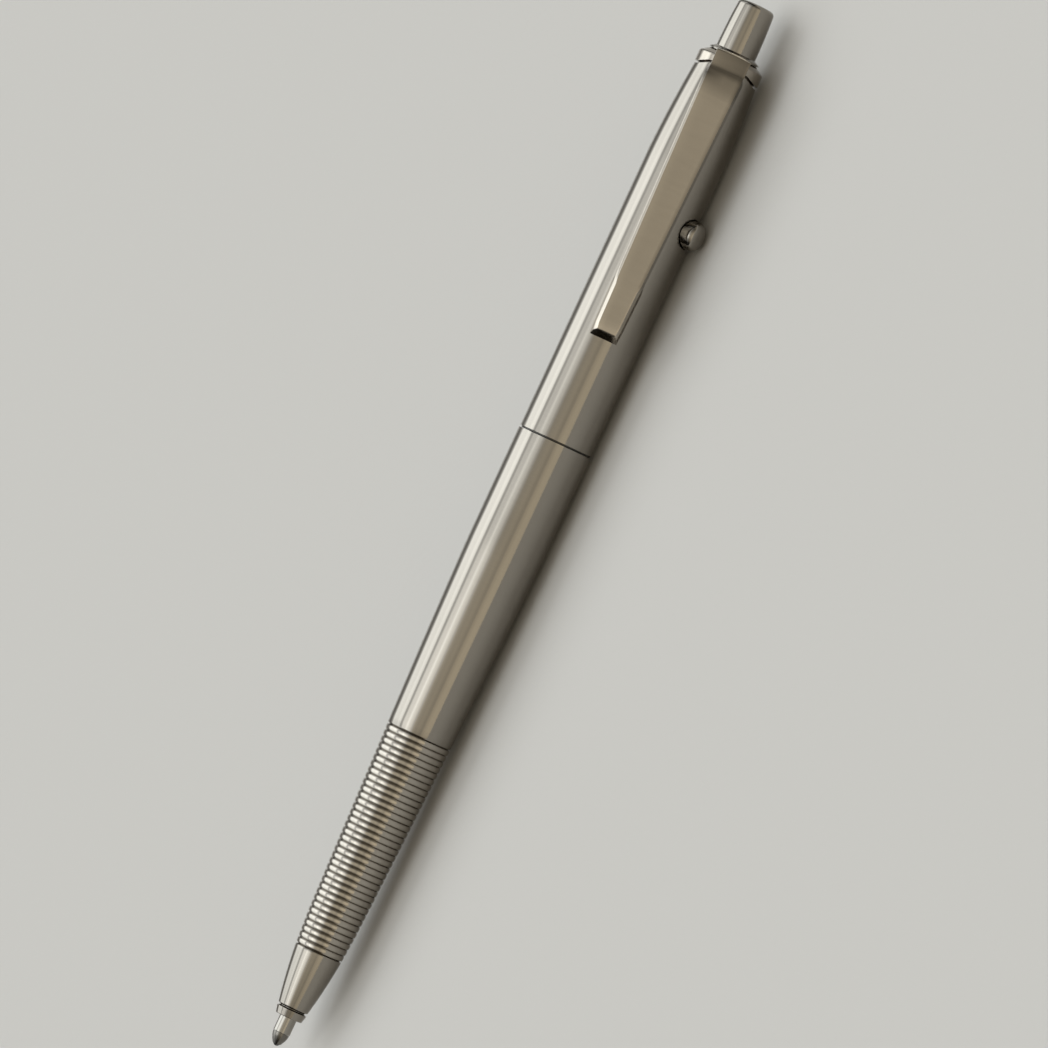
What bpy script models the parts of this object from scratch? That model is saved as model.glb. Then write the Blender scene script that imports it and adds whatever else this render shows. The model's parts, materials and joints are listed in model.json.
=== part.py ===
"""Slim turned-metal pen whose point is pushed out by a plunger and let back by a side button.

The pen is modelled upright in its own axes: the tip of the writing ball is at height 0, the plunger
at the top, the clip faces -Y and the button stands 62 degrees round from it towards +X.  It is then laid
on a desk, where it rests on its barrel and its button, with the point towards -X.
"""

import math

import bmesh
import bpy
from mathutils import Matrix, Vector

# Main outline, in metres.  Heights run from the tip of the ball up to the top of the plunger.
point_reach = 0.00356
ferrule_height = 0.00102
nose_groove = 0.00014
nose_cone_length = 0.00714
rib_count = 36
rib_pitch = 0.000758
rib_depth = 0.00014
taper_length = 0.0240
straight_length = 0.0132
seam_gap = 0.00028
upper_barrel_length = 0.04627
shoulder_length = 0.0119
plunger_rise = 0.0064
stroke = 0.0045

# Radii of the outside.
barrel_radius = 0.00456
upper_radius = 0.00450
nose_radius = 0.00182
taper_drop = 0.00180
nose_blend_length = 0.0133
shoulder_radius = 0.003865
ferrule_front_radius = 0.00158
ferrule_radius = 0.00184
plunger_radius = 0.00243
plunger_top_radius = 0.00223
plunger_edge_radius = 0.00050

# Shapes of the long curves, as exponents, and where the points of a rib lie along its pitch.
taper_curve_share = 1.25
nose_curve_share = 2.4
shoulder_curve_share = 1.7
plunger_curve_share = 2.4
rib_land_shares = (0.28, 0.72)

# Fits.  Parts of the pen are turned, so every round piece has the same number of sides.
press_clearance = 0.00005
running_clearance = 0.00008
seat_gap = 0.0001
cut_overrun = 0.001
weld_distance = 0.000001
sides = 24
small_sides = 16
edge_steps = 4
edge_chamfer = 0.00012

# Front barrel and the ferrule in its nose.
ferrule_spigot_radius = 0.00145
ferrule_spigot_length = 0.0034
spring_chamber_height = 0.0125
spring_chamber_radius = 0.0023
thread_radius = 0.0035
thread_length = 0.0095

# Refill.
ball_radius = 0.00045
ball_showing = 0.00028
socket_clearance = 0.00003
socket_lip = 0.00005
point_length = 0.0016
point_radius = 0.00098
point_spigot_radius = 0.0006
point_spigot_length = 0.0030
ink_channel_radius = 0.0002
stem_radius = 0.001035
stem_length = 0.0124
stem_spigot_radius = 0.0009
stem_spigot_length = 0.0030
stem_channel_radius = 0.00035
neck_radius = 0.00145
neck_length = 0.0120
refill_radius = 0.00265
refill_wall = 0.00035
refill_cone_length = 0.0012
refill_past_seam = 0.010652
end_plug_flange = 0.0009
end_plug_depth = 0.0025
float_height = 0.0580
float_length = 0.0040

# Refill spring.
refill_wire_radius = 0.0002
refill_coil_radius = 0.0019
refill_spring_turns = 14
spring_points_per_turn = 9
least_spring_gap = 0.0004

# Coupling, housing and the bush at the top.
housing_radius = 0.0039
housing_wall = 0.00124
coupling_length = 0.0150
housing_room = 0.00467
bush_radius = 0.0030
bush_rim_radius = 0.00285
bush_lip_radius = 0.00308
bush_lip_height = 0.00016
bush_length = 0.0044
neck_of_barrel_radius = 0.00342
neck_of_barrel_length = 0.0012

# Plunger group.
sleeve_radius = 0.00258
sleeve_wall = 0.00048
sleeve_room = 0.0022
pad_flange = 0.0004
pad_depth = 0.0020
plunger_spigot_length = 0.0025

# Release button.
button_below_top = 0.018398
button_turn = math.radians(62)
button_radius = 0.00172
button_hole_radius = 0.00185
button_top = 0.00586
button_underside = 0.00422
button_edge_radius = 0.00026
button_travel = 0.0012
button_recess_radius = 0.0014
button_recess_depth = 0.00088
spring_floor = 0.00296
catch_neck_radius = 0.00075
catch_collar_radius = 0.00125
catch_collar_top = 0.00225
catch_collar_thickness = 0.0004
button_wire_radius = 0.0001
button_coil_radius = 0.00114
button_spring_turns = 2.5

# Clip.
clip_cup_radius = 0.00395
clip_cup_height = 0.0014
clip_dome_rise = 0.00068
clip_sheet = 0.0004
clip_reach = 0.0061
clip_end_reach = 0.0057
clip_top_half_width = 0.0023
clip_end_half_width = 0.0015
clip_fold_radius = 0.0008
clip_fold_rise = 0.0003
clip_length = 0.0360
clip_foot_length = 0.0066
clip_foot_step = 0.0005
clip_end_slope = 0.0008
clip_crown = 0.00015
clip_edge_radius = 0.00032
clip_flange = 0.0001
clip_bend_drop = 0.0025
clip_relief_height = 0.0006
clip_relief_slope_share = 0.45
clip_root_share = 0.33
clip_stations = 9

# Closing of the clip's end, as shares of the slope's height, of the edge left off and of the fullness.
clip_end_shares = ((1.0, 0.0, 1.0), (0.33, 0.25, 0.5), (0.0, 0.25, 0.15))

# Heights worked out from the sizes above.
ferrule_top = point_reach + ferrule_height
front_barrel_bottom = ferrule_top + nose_groove
grip_bottom = front_barrel_bottom + nose_cone_length
grip_top = grip_bottom + rib_count * rib_pitch
taper_top = grip_top + taper_length
front_barrel_top = taper_top + straight_length
upper_barrel_bottom = front_barrel_top + seam_gap
upper_barrel_top = upper_barrel_bottom + upper_barrel_length
shoulder_bottom = upper_barrel_top - shoulder_length
neck_of_barrel_top = upper_barrel_top + neck_of_barrel_length
button_height = upper_barrel_top - button_below_top
refill_bore_radius = refill_radius + 2 * press_clearance
thread_bottom = front_barrel_top - thread_length
coupling_shoulder = upper_barrel_bottom + seat_gap
coupling_top = coupling_shoulder + coupling_length
bush_top = neck_of_barrel_top
bush_bottom = bush_top - bush_length
housing_bottom = coupling_top + seat_gap
housing_top = bush_bottom - housing_room
housing_bore_radius = housing_radius - housing_wall
clip_hole_radius = bush_rim_radius + press_clearance
cup_bottom = upper_barrel_top + 2 * seat_gap
cup_edge = cup_bottom + clip_cup_height
dome_top = cup_edge + clip_dome_rise
lip_bottom = dome_top + seat_gap
plunger_top = lip_bottom + bush_lip_height + plunger_rise
stem_bottom = point_length + seat_gap / 2
stem_top = stem_bottom + stem_length
neck_bottom = stem_top + seat_gap
refill_shoulder = neck_bottom + neck_length
refill_body_bottom = refill_shoulder + refill_cone_length
refill_length = front_barrel_top + refill_past_seam
refill_body_top = refill_length - end_plug_flange - seat_gap
refill_bore = refill_radius - refill_wall
pad_bottom = refill_length + seat_gap
sleeve_bottom = pad_bottom + pad_flange + seat_gap
sleeve_top = bush_bottom - stroke - sleeve_room
sleeve_bore = sleeve_radius - sleeve_wall
plunger_shoulder = sleeve_top + seat_gap
catch_ratio = button_travel / stroke


def clear_scene():
    for thing in list(bpy.data.objects):
        bpy.data.objects.remove(thing, do_unlink=True)


def metal(name, colour, roughness, metallic=1.0):
    material = bpy.data.materials.new(name)
    material.use_nodes = True
    shader = material.node_tree.nodes["Principled BSDF"]
    shader.inputs["Base Color"].default_value = (*colour, 1.0)
    shader.inputs["Roughness"].default_value = roughness
    shader.inputs["Metallic"].default_value = metallic
    return material


def add_object(name, mesh, parent, material):
    thing = bpy.data.objects.new(name, mesh)
    bpy.context.scene.collection.objects.link(thing)
    thing.parent = parent
    if material:
        mesh.materials.append(material)
    return thing


def add_empty(name, parent=None):
    empty = bpy.data.objects.new(name, None)
    bpy.context.scene.collection.objects.link(empty)
    empty.parent = parent
    return empty


def turned(name, outline, parent, material, around=sides):
    """Turn an outline of (radius, height) points, which runs down the outside, about the local Z axis.

    An outline that starts and ends on the axis gives a solid, any other is closed into a ring.
    """
    mesh = bpy.data.meshes.new(name)
    points = [(radius, 0, height) for radius, height in outline]
    edges = [(i, i + 1) for i in range(len(points) - 1)]
    if outline[0][0] > 0:
        edges.append((len(points) - 1, 0))
    mesh.from_pydata(points, edges, [])
    thing = add_object(name, mesh, parent, material)
    screw = thing.modifiers.new("turn", "SCREW")
    screw.axis = "Z"
    screw.steps = around
    screw.render_steps = around
    screw.use_merge_vertices = True
    screw.merge_threshold = weld_distance
    return thing


def as_cutter(thing):
    thing.hide_render = True
    thing.display_type = "WIRE"
    return thing


def cut(thing, cutter, operation="DIFFERENCE"):
    boolean = thing.modifiers.new(cutter.name, "BOOLEAN")
    boolean.operation = operation
    boolean.solver = "EXACT"
    boolean.object = as_cutter(cutter)


def rounded_edge(radius, height, edge, steps):
    """Points of a quarter round that starts on a flat top at this height and ends on the side."""
    turns = [math.radians(90) * i / steps for i in range(steps + 1)]
    return [
        (radius - edge + edge * math.sin(turn), height - edge + edge * math.cos(turn)) for turn in turns
    ]


def front_radius(height):
    """Radius of the front barrel: a long easy taper, drawn in further towards the nose."""
    full = taper_top - front_barrel_bottom
    below = max(0.0, taper_top - height) / full
    radius = barrel_radius - taper_drop * below**taper_curve_share
    nose_drop = barrel_radius - taper_drop - nose_radius
    nose = max(0.0, front_barrel_bottom + nose_blend_length - height) / nose_blend_length
    return radius - nose_drop * nose**nose_curve_share


def shoulder_outline(height):
    rise = max(0.0, height - shoulder_bottom) / shoulder_length
    return upper_radius - (upper_radius - shoulder_radius) * rise**shoulder_curve_share


def grip_points():
    """Rounded ribs parted by sharp grooves, from the top of the grip down to its bottom groove."""
    points = []
    for rib in reversed(range(rib_count)):
        start = grip_bottom + rib * rib_pitch
        for share in reversed(rib_land_shares):
            height = start + share * rib_pitch
            points.append((front_radius(height), height))
        points.append((front_radius(start) - rib_depth, start))
    return points


def build_front_barrel(parent, material):
    chamfer = edge_chamfer
    top = front_barrel_top
    taper_steps = 7
    heights = [taper_top - taper_length * i / taper_steps for i in range(taper_steps)]
    outline = [(barrel_radius - chamfer, top), (barrel_radius, top - chamfer)]
    outline += [(front_radius(height), height) for height in heights]
    outline.append((front_radius(grip_top) - rib_depth, grip_top))
    outline += grip_points()
    nose_steps = 6
    heights = [grip_bottom - rib_pitch * rib_land_shares[0] / 2]
    lowest = front_barrel_bottom + chamfer
    heights += [grip_bottom - (grip_bottom - lowest) * i / nose_steps for i in range(1, nose_steps + 1)]
    outline += [(front_radius(height), height) for height in heights]
    outline.append((nose_radius - chamfer, front_barrel_bottom))
    nose_bore = ferrule_spigot_radius + press_clearance
    thread_bore = thread_radius + press_clearance
    outline += [
        (nose_bore, front_barrel_bottom),
        (nose_bore, spring_chamber_height),
        (spring_chamber_radius, spring_chamber_height),
        (spring_chamber_radius, refill_shoulder - seat_gap),
        (refill_bore_radius, refill_shoulder - seat_gap),
        (refill_bore_radius, thread_bottom - seat_gap),
        (thread_bore, thread_bottom - seat_gap),
        (thread_bore, top),
    ]
    turned("front_barrel", outline, parent, material)


def build_nose_ferrule(parent, material):
    bore = stem_radius + running_clearance
    chamfer = edge_chamfer / 2
    outline = [
        (ferrule_spigot_radius, ferrule_top + ferrule_spigot_length),
        (ferrule_spigot_radius, ferrule_top),
        (ferrule_radius - chamfer, ferrule_top),
        (ferrule_radius, ferrule_top - chamfer),
        (ferrule_front_radius + chamfer, point_reach + chamfer),
        (ferrule_front_radius, point_reach),
        (bore, point_reach),
        (bore, ferrule_top + ferrule_spigot_length),
    ]
    turned("nose_ferrule", outline, parent, material)


def build_upper_barrel(parent, material):
    bore = housing_radius + press_clearance
    bush_bore = bush_radius + press_clearance
    bore_top = housing_top + seat_gap
    steps = 8
    heights = [upper_barrel_top - shoulder_length * i / steps for i in range(1, steps + 1)]
    outline = [
        (neck_of_barrel_radius, neck_of_barrel_top),
        (neck_of_barrel_radius, upper_barrel_top),
        (shoulder_radius - edge_chamfer, upper_barrel_top),
        (shoulder_radius, upper_barrel_top - edge_chamfer),
    ]
    outline += [(shoulder_outline(height), height) for height in heights]
    outline += [
        (upper_radius, upper_barrel_bottom + edge_chamfer),
        (upper_radius - edge_chamfer, upper_barrel_bottom),
        (bore, upper_barrel_bottom),
        (bore, bore_top),
        (bush_bore, bore_top),
        (bush_bore, neck_of_barrel_top),
    ]
    barrel = turned("upper_barrel", outline, parent, material)
    cut(barrel, button_cutter("barrel_button_hole", button_hole_radius, spring_floor, parent))


def build_coupling(parent, material):
    chamfer = edge_chamfer
    outline = [
        (housing_radius, coupling_top),
        (housing_radius, coupling_shoulder),
        (thread_radius, coupling_shoulder),
        (thread_radius, thread_bottom + chamfer),
        (thread_radius - chamfer, thread_bottom),
        (refill_bore_radius, thread_bottom),
        (refill_bore_radius, coupling_top),
    ]
    turned("barrel_coupling", outline, parent, material)


def build_housing(parent, material):
    outline = [
        (housing_radius, housing_top),
        (housing_radius, housing_bottom),
        (housing_bore_radius, housing_bottom),
        (housing_bore_radius, housing_top),
    ]
    housing = turned("mechanism_housing", outline, parent, material)
    cut(housing, button_cutter("housing_button_hole", button_hole_radius, spring_floor, parent))
    stem_hole = catch_neck_radius + running_clearance
    cut(housing, button_cutter("housing_stem_hole", stem_hole, 0.0, parent))


def build_clip_bush(parent, material):
    bore = plunger_radius + running_clearance
    lip_top = lip_bottom + bush_lip_height
    outline = [
        (bush_lip_radius - bush_lip_height / 2, lip_top),
        (bush_lip_radius, lip_top - bush_lip_height / 2),
        (bush_lip_radius, lip_bottom),
        (bush_rim_radius, lip_bottom),
        (bush_rim_radius, bush_top),
        (bush_radius, bush_top),
        (bush_radius, bush_bottom),
        (bore, bush_bottom),
        (bore, lip_top),
    ]
    turned("clip_bush", outline, parent, material)


def build_plunger(parent, material):
    edge_height = plunger_top - plunger_edge_radius
    base = dome_top
    steps = 5
    outline = [(0.0, plunger_top)]
    outline += rounded_edge(plunger_top_radius, plunger_top, plunger_edge_radius, edge_steps)
    for i in range(1, steps + 1):
        rise = 1 - i / steps
        radius = plunger_radius - (plunger_radius - plunger_top_radius) * rise**plunger_curve_share
        outline.append((radius, base + (edge_height - base) * rise))
    spigot = sleeve_bore - press_clearance
    outline += [
        (plunger_radius, plunger_shoulder),
        (spigot, plunger_shoulder),
        (spigot, plunger_shoulder - plunger_spigot_length),
        (0.0, plunger_shoulder - plunger_spigot_length),
    ]
    turned("plunger", outline, parent, material)


def build_thrust_sleeve(parent, material):
    outline = [
        (sleeve_radius, sleeve_top),
        (sleeve_radius, sleeve_bottom),
        (sleeve_bore, sleeve_bottom),
        (sleeve_bore, sleeve_top),
    ]
    sleeve = turned("thrust_sleeve", outline, parent, material)
    collar = catch_collar_radius + running_clearance
    inside = math.sqrt(sleeve_bore**2 - catch_collar_radius**2) - running_clearance
    wide_length = (catch_collar_top - inside) / catch_ratio
    neck = catch_neck_radius + running_clearance
    cut(sleeve, slot_cutter("catch_wide_slot", collar, wide_length, parent))
    cut(sleeve, slot_cutter("catch_narrow_slot", neck, stroke, parent))


def build_thrust_pad(parent, material):
    spigot = sleeve_bore - press_clearance
    outline = [
        (0.0, pad_bottom + pad_flange + pad_depth),
        (spigot, pad_bottom + pad_flange + pad_depth),
        (spigot, pad_bottom + pad_flange),
        (sleeve_radius, pad_bottom + pad_flange),
        (sleeve_radius, pad_bottom),
        (0.0, pad_bottom),
    ]
    turned("thrust_pad", outline, parent, material)


def button_place():
    """The button's own axes: Z points out of the pen's axis through the middle of the button."""
    outward = Vector((math.sin(button_turn), -math.cos(button_turn), 0))
    upward = Vector((0, 0, 1))
    across = upward.cross(outward)
    turn = Matrix((upward, across, outward)).transposed().to_4x4()
    return Matrix.Translation((0, 0, button_height)) @ turn


def button_cutter(name, radius, inner_height, parent):
    """A round bar along the button's axis, from this height above the pen's axis outwards."""
    outer = barrel_radius + cut_overrun
    outline = [(0.0, outer), (radius, outer), (radius, inner_height), (0.0, inner_height)]
    cutter = turned(name, outline, parent, None)
    cutter.matrix_local = button_place()
    return cutter


def slot_cutter(name, radius, length, parent):
    """A round-ended slot through one wall of the sleeve, from the button's axis down by this length."""
    half_round = sides // 2
    corners = []
    for i in range(half_round + 1):
        angle = math.pi * i / half_round
        corners.append((radius * math.sin(angle - math.pi / 2), radius * math.cos(angle - math.pi / 2)))
    outline = [(up, across) for across, up in corners]
    outline += [(-up - length, -across) for across, up in corners]
    mesh = bpy.data.meshes.new(name)
    work = bmesh.new()
    low = [work.verts.new((x, y, 0)) for x, y in outline]
    face = work.faces.new(low)
    lifted = bmesh.ops.extrude_face_region(work, geom=[face])
    top = [item for item in lifted["geom"] if isinstance(item, bmesh.types.BMVert)]
    bmesh.ops.translate(work, verts=top, vec=(0, 0, sleeve_radius + cut_overrun))
    bmesh.ops.recalc_face_normals(work, faces=work.faces)
    work.to_mesh(mesh)
    work.free()
    cutter = add_object(name, mesh, parent, None)
    cutter.matrix_local = button_place()
    return cutter


def build_release_button(parent, material):
    outline = [(0.0, button_top)]
    outline += rounded_edge(button_radius, button_top, button_edge_radius, edge_steps - 1)
    outline += [
        (button_radius, button_underside),
        (button_recess_radius, button_underside),
        (button_recess_radius, button_underside + button_recess_depth),
        (catch_neck_radius + press_clearance, button_underside + button_recess_depth),
        (catch_neck_radius + press_clearance, catch_top() + seat_gap),
        (0.0, catch_top() + seat_gap),
    ]
    turned("release_button", outline, parent, material)


def catch_top():
    """The stem is screwed half way into what is left of the head above its recess."""
    roof = button_underside + button_recess_depth
    return (roof + button_top) / 2


def build_catch_stem(parent, material):
    collar_bottom = catch_collar_top - catch_collar_thickness
    outline = [
        (0.0, catch_top()),
        (catch_neck_radius, catch_top()),
        (catch_neck_radius, catch_collar_top),
        (catch_collar_radius, catch_collar_top),
        (catch_collar_radius, collar_bottom),
        (0.0, collar_bottom),
    ]
    turned("catch_stem", outline, parent, material)


def wound_spring(name, low, high, coil_radius, wire_radius, turns, parent, material):
    """One unbroken wire wound from low to high, with both ends running straight for a wire's width."""
    first = low + wire_radius
    last = high - wire_radius
    count = round(turns * spring_points_per_turn)
    points = []
    for i in range(count + 1):
        angle = 2 * math.pi * turns * i / count
        height = first + (last - first) * i / count
        points.append(Vector((coil_radius * math.cos(angle), coil_radius * math.sin(angle), height)))
    points.insert(0, points[0] + (points[0] - points[1]).normalized() * 2 * wire_radius)
    points.append(points[-1] + (points[-1] - points[-2]).normalized() * 2 * wire_radius)
    for end in (0, -1):
        points[end].z = first if end == 0 else last
    curve = bpy.data.curves.new(name, "CURVE")
    curve.dimensions = "3D"
    curve.bevel_depth = wire_radius
    curve.bevel_resolution = 1
    curve.use_fill_caps = True
    spline = curve.splines.new("POLY")
    spline.points.add(len(points) - 1)
    for place, point in zip(spline.points, points):
        place.co = (*point, 1)
    spring = add_object(name, curve, parent, material)
    gap = least_gap(points, wire_radius)
    print(f"{name}: least gap to itself {gap * 1000:.3f} mm, wanted over {least_spring_gap * 1000:.1f} mm")
    return spring


def least_gap(points, wire_radius):
    """Least clear distance between turns, between points that lie over half a turn apart."""
    apart = spring_points_per_turn // 2 + 1
    distances = [
        (points[i] - points[j]).length
        for i in range(len(points))
        for j in range(i + apart, len(points))
    ]
    return min(distances) - 2 * wire_radius


def build_button_spring(parent, material):
    roof = button_underside + button_recess_depth
    wound_spring(
        "button_spring",
        spring_floor + seat_gap,
        roof - seat_gap,
        button_coil_radius,
        button_wire_radius,
        button_spring_turns,
        parent,
        material,
    )


def build_refill_spring(parent, material):
    wound_spring(
        "refill_spring",
        spring_chamber_height + seat_gap,
        refill_shoulder - seat_gap,
        refill_coil_radius,
        refill_wire_radius,
        refill_spring_turns,
        parent,
        material,
    )


def build_writing_ball(parent, material):
    rings = small_sides // 2
    turns = [math.pi * i / rings for i in range(rings + 1)]
    outline = [(ball_radius * math.sin(turn), ball_radius * math.cos(turn)) for turn in turns]
    outline[0] = (0.0, ball_radius)
    outline[-1] = (0.0, -ball_radius)
    ball = turned("writing_ball", outline, parent, material, small_sides)
    ball.location = (0, 0, ball_radius)


def build_refill_point(parent, material):
    """A swelling cone whose socket closes past the ball's middle, on a spigot for the stem."""
    socket = ball_radius + socket_clearance
    mouth = math.sqrt(socket**2 - (ball_radius - ball_showing) ** 2)
    steps = 5
    spigot_top = point_length + point_spigot_length
    outline = [
        (point_spigot_radius, spigot_top),
        (point_spigot_radius, point_length),
        (point_radius, point_length),
    ]
    lip = mouth + socket_lip
    for i in range(1, steps + 1):
        along = 1 - i / steps
        swell = math.sin(along * math.pi / 2)
        height = ball_showing + (point_length - ball_showing) * along
        outline.append((lip + (point_radius - lip) * swell, height))
    start = math.asin((ball_radius - ball_showing) / socket)
    end = math.acos(ink_channel_radius / socket)
    for i in range(steps + 1):
        angle = -start + (end + start) * i / steps
        outline.append((socket * math.cos(angle), ball_radius + socket * math.sin(angle)))
    outline.append((ink_channel_radius, spigot_top))
    turned("refill_point", outline, parent, material)


def build_refill_stem(parent, material):
    point_bore = point_spigot_radius + press_clearance
    bore_top = point_length + point_spigot_length + seat_gap
    spigot_top = stem_top + stem_spigot_length
    outline = [
        (stem_spigot_radius, spigot_top),
        (stem_spigot_radius, stem_top),
        (stem_radius, stem_top),
        (stem_radius, stem_bottom),
        (point_bore, stem_bottom),
        (point_bore, bore_top),
        (stem_channel_radius, bore_top),
        (stem_channel_radius, spigot_top),
    ]
    turned("refill_stem", outline, parent, material)


def build_refill_tube(parent, material):
    neck_bore = stem_spigot_radius + press_clearance
    outline = [
        (refill_radius, refill_body_top),
        (refill_radius, refill_body_bottom),
        (spring_chamber_radius, refill_shoulder),
        (neck_radius, refill_shoulder),
        (neck_radius, neck_bottom),
        (neck_bore, neck_bottom),
        (neck_bore, refill_shoulder + refill_wall),
        (refill_bore, refill_body_bottom + refill_wall),
        (refill_bore, refill_body_top),
    ]
    turned("refill_tube", outline, parent, material)


def build_ink_column(parent, material):
    neck = stem_spigot_radius
    body = refill_bore - press_clearance
    bottom = stem_top + stem_spigot_length + seat_gap
    top = float_height - seat_gap
    outline = [
        (0.0, top),
        (body, top),
        (body, refill_body_bottom + refill_wall + seat_gap),
        (neck, refill_shoulder + refill_wall + seat_gap),
        (neck, bottom),
        (0.0, bottom),
    ]
    turned("ink_column", outline, parent, material)


def build_refill_float(parent, material):
    radius = refill_bore - running_clearance
    chamfer = 2 * edge_chamfer
    outline = [
        (0.0, float_height + float_length),
        (radius - chamfer, float_height + float_length),
        (radius, float_height + float_length - chamfer),
        (radius, float_height + chamfer),
        (radius - chamfer, float_height),
        (0.0, float_height),
    ]
    turned("refill_float", outline, parent, material)


def build_end_plug(parent, material):
    spigot = refill_bore - press_clearance
    flange_bottom = refill_length - end_plug_flange
    outline = [
        (0.0, refill_length),
        (refill_radius - edge_chamfer, refill_length),
        (refill_radius, refill_length - edge_chamfer),
        (refill_radius, flange_bottom),
        (spigot, flange_bottom),
        (spigot, flange_bottom - end_plug_depth),
        (0.0, flange_bottom - end_plug_depth),
    ]
    turned("refill_end_plug", outline, parent, material)


def clip_cup(parent):
    """The domed cup that fits over the barrel's neck, relieved on both sides of the tongue."""
    inner = clip_cup_radius - clip_sheet
    slope = clip_dome_rise / (clip_cup_radius - clip_hole_radius)
    under = cup_edge - clip_sheet * slope
    outline = [
        (clip_hole_radius, dome_top),
        (clip_cup_radius - edge_chamfer, cup_edge + edge_chamfer * slope),
        (clip_cup_radius, cup_edge - edge_chamfer),
        (clip_cup_radius, cup_bottom),
        (inner, cup_bottom),
        (inner, under - clip_sheet / 2),
        (clip_hole_radius, dome_top - clip_sheet),
    ]
    cup = turned("clip_cup", outline, parent, None)
    cut(cup, clip_relief(parent))
    return cup


def clip_relief(parent):
    """A roof-shaped bar that raises the skirt's edge below the root of the tongue."""
    half = clip_cup_radius + cut_overrun
    flat = clip_top_half_width
    peak = cup_bottom + clip_relief_height
    eave = peak - (half - flat) * clip_relief_slope_share
    low = min(eave, cup_bottom) - cut_overrun
    corners = [(-half, low), (half, low), (half, eave), (flat, peak), (-flat, peak), (-half, eave)]
    mesh = bpy.data.meshes.new("clip_relief")
    work = bmesh.new()
    back = [work.verts.new((x, 0, z)) for x, z in corners]
    face = work.faces.new(back)
    pushed = bmesh.ops.extrude_face_region(work, geom=[face])
    front = [item for item in pushed["geom"] if isinstance(item, bmesh.types.BMVert)]
    bmesh.ops.translate(work, verts=front, vec=(0, -half, 0))
    bmesh.ops.recalc_face_normals(work, faces=work.faces)
    work.to_mesh(mesh)
    work.free()
    return add_object("clip_relief", mesh, parent, None)


def clip_section(half_width, flange):
    """Points across the tongue as (across, outward): a shallow crown with turned-down edges."""
    crown = clip_crown
    edge = clip_edge_radius
    bottom = -(crown + edge + flange)
    inner = half_width - clip_sheet
    middle = half_width / 2
    middle_drop = crown * (middle / half_width) ** 2
    bevel = edge * (1 - math.sqrt(0.5))
    outer_side = [
        (middle, -middle_drop),
        (half_width - edge, -crown),
        (half_width - bevel, -crown - bevel),
        (half_width, -crown - edge),
        (half_width, bottom),
    ]
    inner_side = [
        (inner, bottom),
        (inner - bevel, -crown - clip_sheet),
        (middle, -middle_drop - clip_sheet),
    ]
    right = [(0, 0)] + outer_side + inner_side
    left = [(-across, outward) for across, outward in reversed(outer_side + inner_side)]
    return right + [(0, -clip_sheet)] + left


def clip_rings():
    """Rings of (point on the spine, direction out of the sheet, section), from the dome to the foot."""
    fold_top = dome_top + clip_fold_rise
    root = (clip_hole_radius + clip_cup_radius) / 2
    fold_centre = (clip_reach - clip_fold_radius, fold_top - clip_fold_radius)
    tip = fold_top - clip_length
    wide = clip_section(clip_top_half_width, clip_flange)
    rings = [((root, dome_top - clip_dome_rise * clip_root_share), math.radians(90), wide)]
    rings.append((((root + fold_centre[0]) / 2, fold_top), math.radians(90), wide))
    fold_steps = 4
    for i in range(fold_steps + 1):
        turn = math.radians(90) * (1 - i / fold_steps)
        reach = fold_centre[0] + clip_fold_radius * math.cos(turn)
        height = fold_centre[1] + clip_fold_radius * math.sin(turn)
        rings.append(((reach, height), turn, wide))
    bend = fold_top - clip_bend_drop
    rings.append(((clip_reach, bend), 0.0, wide))
    foot_top = tip + clip_foot_length
    for i in range(1, clip_stations + 1):
        share = i / clip_stations
        height = bend + (foot_top + clip_foot_step - bend) * share
        rings.append((clip_spine(height, bend, tip), 0.0, clip_section(clip_width(height), clip_flange)))
    foot_end = tip + clip_end_slope + clip_sheet
    for height in (foot_top, foot_end):
        section = clip_section(clip_width(height), foot_flange(height, bend, tip))
        rings.append((clip_spine(height, bend, tip), 0.0, section))
    for slope_share, edge_share, height_share in clip_end_shares:
        height = tip + clip_end_slope * slope_share
        half_width = clip_width(height) - clip_edge_radius * edge_share
        section = clip_section(half_width, foot_flange(height, bend, tip))
        rings.append((clip_spine(height, bend, tip), 0.0, filled(section, height_share)))
    return rings


def clip_width(height):
    top = dome_top + clip_fold_rise
    return clip_top_half_width + (clip_end_half_width - clip_top_half_width) * (top - height) / clip_length


def clip_spine(height, bend, tip):
    """The tongue leans gently in from the bend to its foot."""
    return (clip_end_reach + (clip_reach - clip_end_reach) * (height - tip) / (bend - tip), height)


def foot_flange(height, bend, tip):
    """The foot's sides reach down to the barrel, short of it by a seat's gap."""
    reach = clip_spine(height, bend, tip)[0]
    return reach - upper_radius - seat_gap - clip_crown - clip_edge_radius


def filled(section, height_share):
    """The section closed along its bottom, its crown lowered to this share of its height."""
    bottom = min(outward for across, outward in section)
    middle = len(section) // 2
    inner_points = 3
    points = []
    for i, (across, outward) in enumerate(section):
        lowered = bottom + (outward - bottom) * height_share
        inside = abs(i - middle) <= inner_points
        points.append((across, bottom if inside else lowered))
    return points


def clip_tongue(parent):
    mesh = bpy.data.meshes.new("clip_tongue")
    work = bmesh.new()
    loops = []
    for (reach, height), turn, section in clip_rings():
        out = Vector((0, -math.cos(turn), math.sin(turn)))
        spine = Vector((0, -reach, height))
        places = [spine + Vector((across, 0, 0)) + out * outward for across, outward in section]
        loops.append([work.verts.new(place) for place in places])
    count = len(loops[0])
    for upper, lower in zip(loops, loops[1:]):
        for i in range(count):
            j = (i + 1) % count
            work.faces.new((upper[i], upper[j], lower[j], lower[i]))
    work.faces.new(loops[0])
    work.faces.new(reversed(loops[-1]))
    bmesh.ops.triangulate(work, faces=work.faces)
    bmesh.ops.recalc_face_normals(work, faces=work.faces)
    work.to_mesh(mesh)
    work.free()
    return add_object("clip_tongue", mesh, parent, None)


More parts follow.
